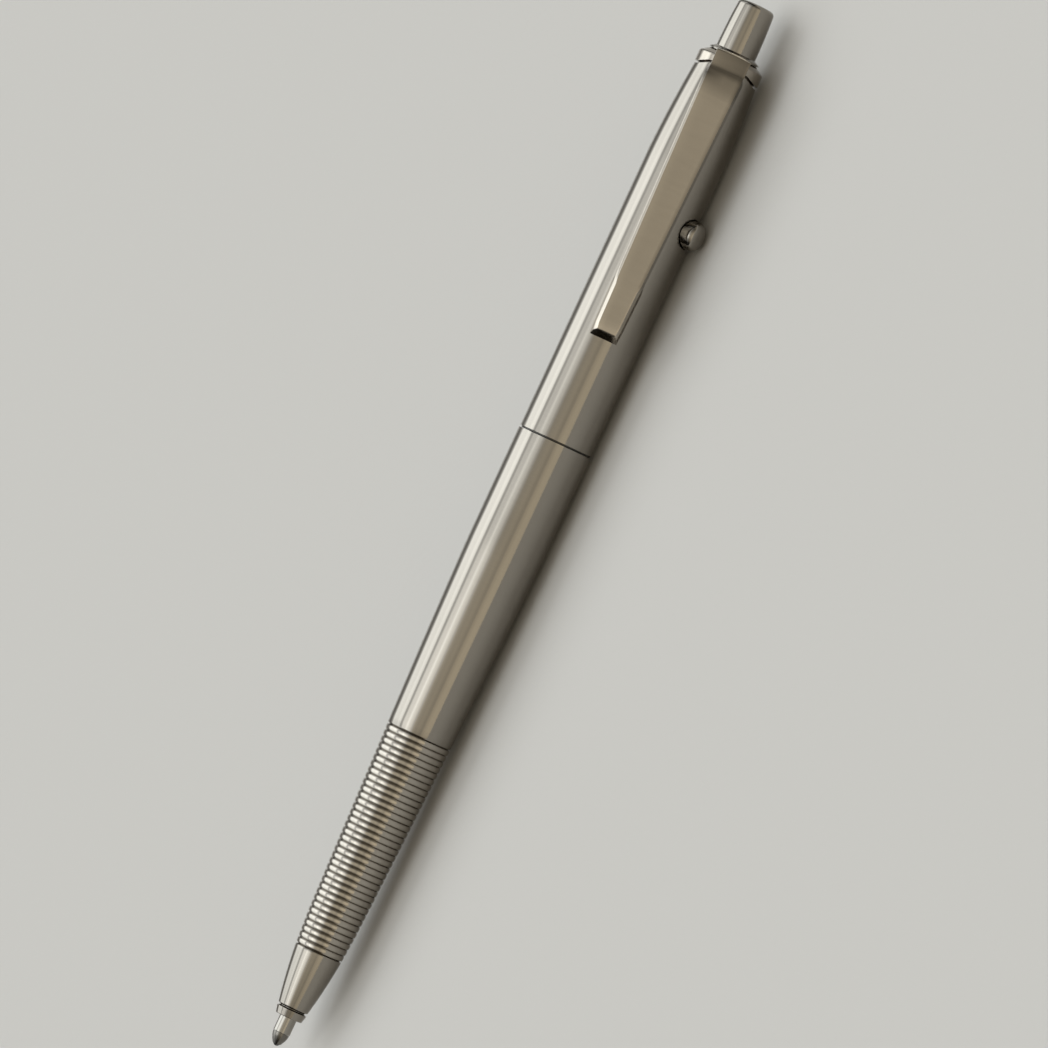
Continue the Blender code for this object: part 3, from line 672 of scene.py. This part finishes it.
def clip_relief(x, y):
    """How far the skirt's edge and the barrel's top rise beside the root of the clip."""
    if y > 0:
        return 0.0
    away = max(0.0, abs(x) - clip_half_width)
    return max(0.0, relief_height - relief_slope * away)


def button_place():
    """The button's own axes in the pen's: Z points out through the middle of the button."""
    outward = Vector((math.sin(button_turn), -math.cos(button_turn), 0))
    upward = Vector((0, 0, 1))
    turn = Matrix((upward, outward.cross(upward), outward)).transposed().to_4x4()
    return Matrix.Translation((0, 0, button_height)) @ turn


def cut_hole(work, radius, inner, outer):
    """Cut a round hole from the side along the button's axis, with an exact boolean."""
    bmesh.ops.remove_doubles(work, verts=work.verts, dist=merge_distance)
    bmesh.ops.recalc_face_normals(work, faces=work.faces)
    tool = bmesh.new()
    bmesh.ops.create_cone(
        tool, cap_ends=True, segments=64, radius1=radius, radius2=radius, depth=outer - inner,
    )
    bmesh.ops.translate(tool, verts=tool.verts, vec=(0, 0, (inner + outer) / 2))
    bmesh.ops.transform(tool, matrix=button_place(), verts=tool.verts)
    items = []
    for name, shape in (("hole_body", work), ("hole_tool", tool)):
        mesh = bpy.data.meshes.new(name)
        shape.to_mesh(mesh)
        shape.free()
        items.append(bpy.data.objects.new(name, mesh))
        bpy.context.scene.collection.objects.link(items[-1])
    body, cutter = items
    cut = body.modifiers.new("cut", "BOOLEAN")
    cut.operation = "DIFFERENCE"
    cut.solver = "EXACT"
    cut.object = cutter
    graph = bpy.context.evaluated_depsgraph_get()
    done = bmesh.new()
    done.from_mesh(body.evaluated_get(graph).to_mesh())
    for item in items:
        bpy.data.objects.remove(item, do_unlink=True)
    return done


def build_upper_barrel():
    """The outline goes down the outside from the neck to the seam, and back up the bore."""
    shoulder_steps = 20
    straight_shares = (0.97, 0.9, 0.8, 0.7, 0.65, 0.5, 0.25)
    top, bottom = upper_barrel_top, upper_barrel_bottom - seam_closing
    outline = [(clip_neck, clip_neck_top, 0.05 * mm), (clip_neck, top), (shoulder_radius, top, 0.02 * mm)]
    for height in evenly(top, shoulder_bottom, shoulder_steps)[1:]:
        rise = (height - shoulder_bottom) / (top - shoulder_bottom)
        outline.append((upper_radius - (upper_radius - shoulder_radius) * rise**shoulder_power, height))
    straight = shoulder_bottom - upper_barrel_bottom
    outline += [(upper_radius, upper_barrel_bottom + share * straight) for share in straight_shares]
    outline += [
        (upper_radius, bottom, seam_easing),
        (upper_bore, bottom),
        (upper_bore, upper_bore_top),
        (bush_bore, upper_bore_top),
        (bush_bore, clip_neck_top),
    ]
    work = turned(eased(outline))
    for vert in work.verts:
        if abs(vert.co.z - top) < relief_depth:
            lift = clip_relief(vert.co.x, vert.co.y)
            vert.co.z += lift * (1 - max(0.0, top - vert.co.z) / relief_depth)
    work = cut_hole(work, hole_radius, hole_inner, hole_outer)
    link_piece("upper_barrel_turned", work, satin_metal, "upper_body", "satin_metal", "upper_barrel")


build_upper_barrel()


# Clip and its bush.
# The clip is one pressed sheet of spring metal: a domed cup over the barrel's neck and a long tongue
# that tapers to a closed foot.  The turned bush clamps it, and its lip shows round the plunger.
clip_colour = (0.372, 0.336, 0.285)
clip_metal = turned_metal("pressed_clip_metal", clip_colour, 0.16, 0.5, 0.0004)
cup_bottom = 123.098 * mm
cup_edge = 124.498 * mm
dome_top = 125.178 * mm
cup_radius = 3.95 * mm
cup_sheet = 0.4 * mm
cup_hole = 2.90 * mm
clip_top = 125.478 * mm
clip_tip = 89.478 * mm
clip_end_half_width = 1.5 * mm
clip_reach = 6.1 * mm
clip_middle = 110 * mm
tongue_sheet = 0.28 * mm

# Lengths and angles of the tongue's section: its edge, what the roll adds to it and what the foot adds.
edge_inset, foot_inset = 0.20 * mm, 0.13 * mm
edge_length, roll_length, foot_length = 0.05 * mm, 0.26 * mm, 0.16 * mm
roll_angle, foot_angle = 53, 13
left_crown, left_bend, roll_bend = 0.06 * mm, 0.05 * mm, 0.05 * mm
right_crown, right_bend = 0.01 * mm, 0.04 * mm
edge_depth = 0.62 * mm
folded_edge_depth = 0.34 * mm
least_depth = 0.02 * mm
fold_arch = 0.26 * mm
fold_arch_from = 0.45
folded_turn = math.radians(10)
barrel_gap = 0.1 * mm

# Heights between which the roll fades out and the foot closes, and the closing wall at the end: its
# height, its lean, and its rings, each (millimetres above the wall, share of the way in).
roll_start, roll_end = 123.2 * mm, 122.4 * mm
foot_top = clip_tip + 6.6 * mm
foot_blend = 0.25 * mm
wall_section_at = 90.4 * mm
wall_inset = 0.08 * mm
wall_top = 90.22 * mm
wall_run = 0.80 * mm
wall_easing = 0.05 * mm
wall_rings = ((0.16, 0), (0.06, 0), (0.02, 0.01), (0, 0.04), (0, 0.30), (0, 0.60), (0, 0.85), (0, 0.985))


def fade(value, start, end):
    """0 up to the start, 1 from the end on, and a straight run between them."""
    return min(1.0, max(0.0, (value - start) / (end - start)))


def peak(value, middle, reach):
    """1 at the middle, 0 from the reach on either side of it, and straight runs between them."""
    return max(0.0, 1 - abs(value - middle) / reach)


def clip_stations():
    """The tongue's line from the dome over the fold to the foot, as (reach, height, turn).

    It is worked out in millimetres and degrees: first the step and the facet above the tongue, by their
    slopes, then the fold whose arc ends the facet, then the tongue's long bow.
    """
    crest, crest_reach, bow = 108.0, 6.09, 0.0007
    tongue_top, tongue_end, tongue_steps = 119.7, 90.95, 30
    top_slope = 0.94
    step_slopes = (
        (120.2, 2.5), (120.7, 5), (121.2, 6.8), (121.7, 7.5), (122.2, 8.5), (122.5, 12), (122.7, 18),
        (122.85, 24), (123.0, 25.5), (123.15, 20), (123.3, 12), (123.5, 9), (124.2, 9), (125.02, 9),
    )
    fold_radius, fold_turns = 0.45, (90, 75, 60, 45, 30, 19)
    dome = [(3.43, 124.93, 62), (3.75, 125.09, 66), (4.10, 125.23, 70), (4.42, 125.33, 78)]
    step = []
    reach, height, slope = crest_reach - bow * (tongue_top - crest) ** 2, tongue_top, top_slope
    for next_height, next_slope in step_slopes:
        reach -= (next_height - height) * math.tan(math.radians((slope + next_slope) / 2))
        height, slope = next_height, next_slope
        step.append((reach, height, slope))
    facet = math.radians(slope)
    centre = Vector((reach, height)) - fold_radius * Vector((math.cos(facet), math.sin(facet)))
    fold = []
    for turn in fold_turns:
        angle = math.radians(turn)
        fold.append((*(centre + fold_radius * Vector((math.cos(angle), math.sin(angle)))), turn))
    tongue = []
    for height in evenly(tongue_top, tongue_end, tongue_steps):
        below = height - crest
        tongue.append((crest_reach - bow * below**2, height, math.degrees(math.atan(2 * bow * below))))
    stations = dome + fold + step[::-1] + tongue
    return [(reach * mm, height * mm, math.radians(turn)) for reach, height, turn in stations]


def clip_width(height):
    """Half the tongue's width, which narrows evenly from its top to its tip."""
    return clip_half_width + (clip_end_half_width - clip_half_width) * fade(height, clip_top, clip_tip)


def clip_section(half_width, roll, foot, depth, arch=0.0):
    """Points across the sheet's outside, from the left edge to the right, as (across, drop).

    The flat face turns down into a slanting rolled edge, and at the foot steep side walls go on below it.
    """
    flat_steps, bend_steps = 8, 4
    flat = half_width - edge_inset - foot_inset * foot
    slant = math.radians(90 - roll_angle * roll + foot_angle * foot)
    wall = math.radians(90 - foot_angle * foot)
    slant_length = (roll_length + foot_length * foot) * roll + edge_length
    halves = []
    for side, crown, bend in ((-1, left_crown, left_bend + roll_bend * roll), (1, right_crown, right_bend)):
        crown += arch
        half = [(side * flat * share, -crown * share**3) for share in evenly(0, 1, flat_steps)]
        across, drop = half[-1][0] * side, half[-1][1]
        tilt = math.atan(3 * crown / flat)
        for first, last, straight in ((tilt, slant, slant_length), (slant, wall, 0.0)):
            angles = evenly(first, last, bend_steps)
            for start, end in zip(angles, angles[1:]):
                across += bend * (math.sin(end) - math.sin(start))
                drop -= bend * (math.cos(start) - math.cos(end))
                half.append((side * across, drop))
            if straight:
                across += straight * math.cos(last)
                drop -= straight * math.sin(last)
                half.append((side * across, drop))
        left = max(least_depth, depth + drop)
        for share in (0.5, 1.0):
            half.append((side * (across + left * share / math.tan(wall)), drop - left * share))
        halves.append(half)
    left_half, right_half = halves
    return left_half[:0:-1] + right_half


def tongue_rings():
    """The tongue's sections from the dome to the foot, and those of the oblique wall that closes it.

    Each point is (across, drop, reach, height, turn).
    """
    rings = []
    for reach, height, turn in clip_stations():
        foot = fade(height, foot_top + foot_blend, foot_top - foot_blend)
        roll = fade(height, roll_start, roll_end)
        depth = edge_depth + (reach - upper_radius - barrel_gap - edge_depth) * foot
        if turn > folded_turn:
            depth = folded_edge_depth
        arch = fold_arch * fade(math.sin(turn), fold_arch_from, 1.0)
        section = clip_section(clip_width(height), roll, foot, depth, arch)
        rings.append([(across, drop, reach, height, turn) for across, drop in section])
    full = reach - upper_radius - barrel_gap
    section = clip_section(clip_width(wall_section_at) - wall_inset, 1.0, 1.0, full)
    for back, inward in wall_rings:
        easing = wall_easing * (1 - back / wall_rings[0][0])
        ring = []
        for across, drop in section:
            drop -= (full + drop) * inward
            height = wall_top + wall_run * drop / full + back * mm
            ring.append((across * (1 - inward), drop - easing * (1 + drop / full), reach, height, 0.0))
        rings.append(ring)
    return rings


def build_clip_tongue():
    """A grid laid through the tongue's rings and given the sheet's thickness."""
    rings = tongue_rings()
    columns, rows = len(rings[0]) - 1, len(rings) - 1
    work = bmesh.new()
    bmesh.ops.create_grid(work, x_segments=columns, y_segments=rows, size=1)
    for vert in work.verts:
        i = round((vert.co.x + 1) / 2 * columns)
        j = round((vert.co.y + 1) / 2 * rows)
        across, drop, reach, height, turn = rings[j][i]
        out = Vector((0, -math.cos(turn), math.sin(turn)))
        vert.co = Vector((across, -reach, height)) + out * drop
    bmesh.ops.recalc_face_normals(work, faces=work.faces)
    middle = Vector((0, -clip_reach, clip_middle))
    nearest = min(work.faces, key=lambda face: (face.calc_center_median() - middle).length)
    if nearest.normal.y > 0:
        bmesh.ops.reverse_faces(work, faces=work.faces)
    bmesh.ops.solidify(work, geom=work.faces[:], thickness=tongue_sheet)
    return work


def clip_painted_light(place):
    """Painted highlight on the fold and the foot's lip; painted shade on the facet above the tongue, darker
    towards the right, and on the step, its left corner and right edge.
    """
    # Amounts of painted highlight and painted shade, and where each lies.
    fold_painted_highlight, fold_low, fold_high = 1.4, 125.08 * mm, 125.23 * mm
    facet_painted_shade, facet_shade_slant, facet_bottom, dome_reach = 0.27, 0.09, 123.1 * mm, 3.3 * mm
    lip_painted_highlight, lip_at, lip_reach = 0.5, 90.55 * mm, 0.55 * mm
    step_painted_shade, step_bottom, step_full = 0.22, 119.5 * mm, 121.0 * mm
    step_fading, step_top = 122.6 * mm, 122.95 * mm
    corner_painted_shade, corner_at, corner_reach = 0.55, 122.2 * mm, 1.2 * mm
    edge_painted_shade, edge_in, edge_out, edge_bottom = 0.45, 0.55 * mm, 0.2 * mm, foot_top + 0.4 * mm
    across, back, height = place
    if height > facet_bottom:
        if -back < dome_reach:
            return 0.0
        fold = fold_painted_highlight * fade(height, fold_low, fold_high)
        return fold - facet_painted_shade - facet_shade_slant * across / mm
    lip = lip_painted_highlight * peak(height, lip_at, lip_reach)
    step = step_painted_shade * fade(height, step_bottom, step_full) * fade(height, step_top, step_fading)
    corner = corner_painted_shade * fade(across, 0.0, -clip_half_width) * peak(height, corner_at, corner_reach)
    edge = 0.0
    if height > edge_bottom:
        edge = edge_painted_shade * fade(clip_width(height) - across, edge_in, edge_out)
    return lip - step - corner - edge


def build_clip():
    inner = cup_radius - cup_sheet
    slope = (dome_top - cup_edge) / (cup_radius - cup_hole)
    outline = [
        (cup_hole, dome_top),
        (cup_radius, cup_edge, 0.14 * mm),
        (cup_radius, cup_bottom + 0.7 * mm),
        (cup_radius, cup_bottom, 0.05 * mm),
        (inner, cup_bottom, 0.05 * mm),
        (inner, cup_bottom + 0.7 * mm),
        (inner, cup_edge - cup_sheet * slope - 0.2 * mm),
        (cup_hole, dome_top - cup_sheet),
    ]
    work = turned(eased(outline))
    for vert in work.verts:
        if vert.co.z < cup_bottom + 0.3 * mm:
            vert.co.z += clip_relief(vert.co.x, vert.co.y)
    tongue = build_clip_tongue()
    mesh = bpy.data.meshes.new("tongue")
    tongue.to_mesh(mesh)
    tongue.free()
    work.from_mesh(mesh)
    bpy.data.meshes.remove(mesh)
    # Painted highlights and painted shade on the clip.
    shade_points(work, clip_painted_light)
    link_piece("clip_pressed", work, clip_metal, "upper_body", "clip_metal", "clip")


bush_lip_top = 125.72 * mm
bush_rim_top = 125.42 * mm
bush_rim_bottom = 125.278 * mm
bush_collar_bottom = 124.098 * mm
bush_bottom = 119.698 * mm
bush_bore_radius = 2.51 * mm
bush_radius = 3.00 * mm
bush_collar = 2.85 * mm


def build_bush():
    """The lip slants down from the bore to a thin rim over the clip's dome."""
    outline = [
        (bush_bore_radius + 0.05 * mm, bush_lip_top, 0.03 * mm),
        (bush_radius + 0.04 * mm, bush_rim_top, 0.05 * mm),
        (bush_radius + 0.08 * mm, bush_rim_bottom),
        (bush_collar, bush_rim_bottom),
        (bush_collar, bush_collar_bottom),
        (bush_radius, bush_collar_bottom),
        (bush_radius, bush_bottom),
        (bush_bore_radius, bush_bottom),
        (bush_bore_radius, bush_lip_top - 0.02 * mm),
    ]
    work = turned(eased(outline))
    link_piece("clip_bush_turned", work, satin_metal, "upper_body", "satin_metal", "clip_bush")


build_clip()
build_bush()


# Coupling, out of sight behind the seam.
# A turned metal nipple pressed into the upper barrel.  The front barrel screws onto its thread, up to a
# thin flange that closes the seam and is painted dark, as painted shade in the seam's gap.
plain_metal = turned_metal("plain_turned_metal", (0.45, 0.43, 0.39), 0.30, 0.15, 0.0015)
coupling_top = 91.728 * mm
coupling_radius = 3.9 * mm
coupling_bore = 2.75 * mm
flange_radius = 4.3 * mm
flange_top = upper_barrel_bottom - seam_closing
flange_thickness = 0.17 * mm
# Painted shade on the flange in the seam's gap: how much darker, and within what height of the flange's
# top.
flange_shade_level = -0.85
flange_reach = 0.2 * mm
thread_pitch = 0.75 * mm
thread_top = 75.6 * mm
thread_bottom = 66.848 * mm
thread_radius = 3.50 * mm
thread_depth = 0.30 * mm
thread_end = 0.6 * mm
thread_shape = ((0.1, 0.0), (0.42, 1.0), (0.58, 1.0), (0.9, 0.0))


def flange_painted_shade(place):
    """Painted shade: the flange is painted dark, as the seam's gap in shade, and the rest of the coupling
    is plain.
    """
    return flange_shade_level if abs(place.z - flange_top) < flange_reach else 0.0


def build_coupling():
    """The thread is drawn as rings of one pitch, each shaped by (share of pitch, share of depth)."""
    flange_bottom = flange_top - flange_thickness
    root = thread_radius - thread_depth
    outline = [
        (coupling_radius, coupling_top, 0.1 * mm),
        (coupling_radius, flange_top + 0.3 * mm),
        (coupling_radius, flange_top),
        (flange_radius, flange_top, 0.03 * mm),
        (flange_radius, flange_bottom, 0.03 * mm),
        (root + 0.05 * mm, flange_bottom),
        (root, flange_bottom - 0.05 * mm),
        (root, thread_top),
    ]
    for i in range(round((thread_top - thread_bottom - thread_end) / thread_pitch)):
        for share, rise in thread_shape:
            outline.append((root + rise * thread_depth, thread_top - (i + share) * thread_pitch))
    outline += [
        (root, thread_bottom + 0.1 * mm, 0.05 * mm),
        (root - 0.1 * mm, thread_bottom),
        (coupling_bore, thread_bottom, 0.05 * mm),
        (coupling_bore, coupling_top, 0.05 * mm),
    ]
    work = turned(eased(outline), small_steps)
    # Painted shade on the flange in the seam.
    shade_points(work, flange_painted_shade)
    link_piece("coupling_threaded", work, plain_metal, "upper_body", "plain_metal", "barrel_coupling")


build_coupling()


# Plunger.
# A turned rod of the same satin metal, with a rounded top, that widens a little towards the bush it
# slides in.  Its reduced foot is pressed into the thrust sleeve.
plunger_top = 131.838 * mm
plunger_rim = 2.23 * mm
plunger_widening = 0.20 * mm
plunger_widening_power = 2.4
plunger_edge = 0.62 * mm
plunger_crown = 0.10 * mm
plunger_shoulder = 113.1 * mm
plunger_foot = 110.6 * mm
plunger_foot_radius = 2.05 * mm


def build_plunger():
    """The outline goes from the middle of the crown over the round edge and down the rod."""
    crown_shares = (0.0, 0.3, 0.6, 0.85)
    edge_start, edge_turn, edge_steps, rod_steps = 8, 82, 10, 12
    flat = plunger_rim - plunger_edge
    radius = plunger_rim + plunger_widening
    outline = [(flat * share, plunger_top - plunger_crown * share**2) for share in crown_shares]
    for degrees in evenly(edge_start, edge_start + edge_turn, edge_steps):
        angle = math.radians(degrees)
        drop = plunger_crown + (plunger_edge - plunger_crown) * (1 - math.cos(angle))
        outline.append((flat + plunger_edge * math.sin(angle), plunger_top - drop))
    rod_length = plunger_top - plunger_edge - dome_top
    for rise in evenly(1, 0, rod_steps)[1:]:
        drop = plunger_widening * rise**plunger_widening_power
        outline.append((radius - drop, dome_top + rod_length * rise))
    outline += [
        (radius, plunger_shoulder),
        (plunger_foot_radius, plunger_shoulder),
        (plunger_foot_radius, plunger_foot),
        (0.0, plunger_foot),
    ]
    link_piece("plunger_turned", turned(outline), satin_metal, "plunger_body", "satin_metal", "plunger")


build_plunger()


# Release button.
# A small domed head, turned from the same satin metal and pressed onto the catch stem.  The stem slides
# in the housing, and the head stands out through the barrel's round hole.
button_radius = 1.72 * mm
button_foot = 4.22 * mm
crown_foot = 4.98 * mm
crown_height = 1.15 * mm
crown_squareness = 3.0
button_rim = 0.1 * mm
button_recess = 1.4 * mm
button_recess_top = 5.10 * mm
stem_hole = 0.80 * mm
stem_hole_top = 5.58 * mm


def build_release_button():
    """The dome is a squared-off quarter of an ellipse; below it the outline goes in round the recess."""
    crown_steps = 24
    outline = [(0.0, crown_foot + crown_height)]
    for angle in evenly(0, math.pi / 2, crown_steps)[1:-1]:
        outline.append((
            button_radius * math.sin(angle) ** (2 / crown_squareness),
            crown_foot + crown_height * math.cos(angle) ** (2 / crown_squareness),
        ))
    outline += [
        (button_radius, crown_foot),
        (button_radius, crown_foot - button_rim),
        (button_radius, button_foot),
        (button_recess, button_foot),
        (button_recess, button_recess_top),
        (stem_hole, button_recess_top),
        (stem_hole, stem_hole_top),
        (0.0, stem_hole_top),
    ]
    work = turned(outline, small_steps)
    bmesh.ops.transform(work, matrix=button_place(), verts=work.verts)
    link_piece("release_button_turned", work, satin_metal, "button_body", "satin_metal", "release_button")


build_release_button()


# Springs.
# Two springs wound from round steel wire, with a closed turn at each end.  One stands round the
# refill's neck and pushes the refill back; the other stands in the button's recess and pushes it out.
spring_wire = turned_metal("spring_wire", (0.42, 0.41, 0.39), 0.25, 0.2, 0.0005)
wire_sides = 12
steps_per_turn = 28
closed_pitch = 2.2


def wound(low, high, coil_radius, wire_radius, turns):
    """A coil spring: a ring of wire spun up a helix, with a closed turn at each end and capped ends."""
    work = bmesh.new()
    place = Matrix.Translation((coil_radius, 0, low + wire_radius))
    place @= Matrix.Rotation(math.radians(90), 4, "X")
    ring = bmesh.ops.create_circle(work, segments=wire_sides, radius=wire_radius, matrix=place)["verts"]
    closed_rise = closed_pitch * wire_radius
    open_rise = (high - low - 2 * wire_radius - 2 * closed_rise) / (turns - 2)
    last = ring + work.edges[:]
    for count, rise in ((1, closed_rise), (turns - 2, open_rise), (1, closed_rise)):
        last = bmesh.ops.spin(
            work, geom=last, cent=(0, 0, 0), axis=(0, 0, 1), dvec=(0, 0, rise / steps_per_turn),
            angle=2 * math.pi * count, steps=round(count * steps_per_turn),
            use_merge=False, use_duplicate=False,
        )["geom_last"]
    bmesh.ops.holes_fill(work, edges=[edge for edge in work.edges if edge.is_boundary], sides=0)
    return work


def link_spring(name, work, node):
    """A spring rides on no one body, and stays where it is drawn."""
    piece = make_piece(name, work, spring_wire, "spring_steel", node)
    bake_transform(piece)


def build_springs():
    low, high = spring_bore_bottom + 0.1 * mm, spring_bore_top
    work = wound(low, high, coil_radius=1.90 * mm, wire_radius=0.20 * mm, turns=14)
    link_spring("refill_spring_wound", work, "refill_spring")
    low, high = 3.06 * mm, 5.00 * mm
    work = wound(low, high, coil_radius=1.14 * mm, wire_radius=0.10 * mm, turns=3.5)
    bmesh.ops.transform(work, matrix=button_place(), verts=work.verts)
    link_spring("button_spring_wound", work, "button_spring")


build_springs()


# Inner pieces.
# The housing, thrust sleeve, pad and catch stem are plain turned metal inside the upper barrel, and a
# brass plug and a plastic float close in the refill's ink.  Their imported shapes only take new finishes.
float_plastic = turned_metal("float_plastic", (0.80, 0.80, 0.76), 0.45, 0.3, 0.001, 0.0)
ink = turned_metal("ink", (0.02, 0.02, 0.03), 0.30, 0.5, 0.0002, 0.0)
inner_finishes = {
    "mechanism_housing": plain_metal,
    "thrust_sleeve": plain_metal,
    "thrust_pad": plain_metal,
    "catch_stem": plain_metal,
    "refill_end_plug": brass,
    "refill_float": float_plastic,
    "ink_column": ink,
}
for node_name, material in inner_finishes.items():
    for place in frame["nodes"][node_name].material_slots:
        place.material = material
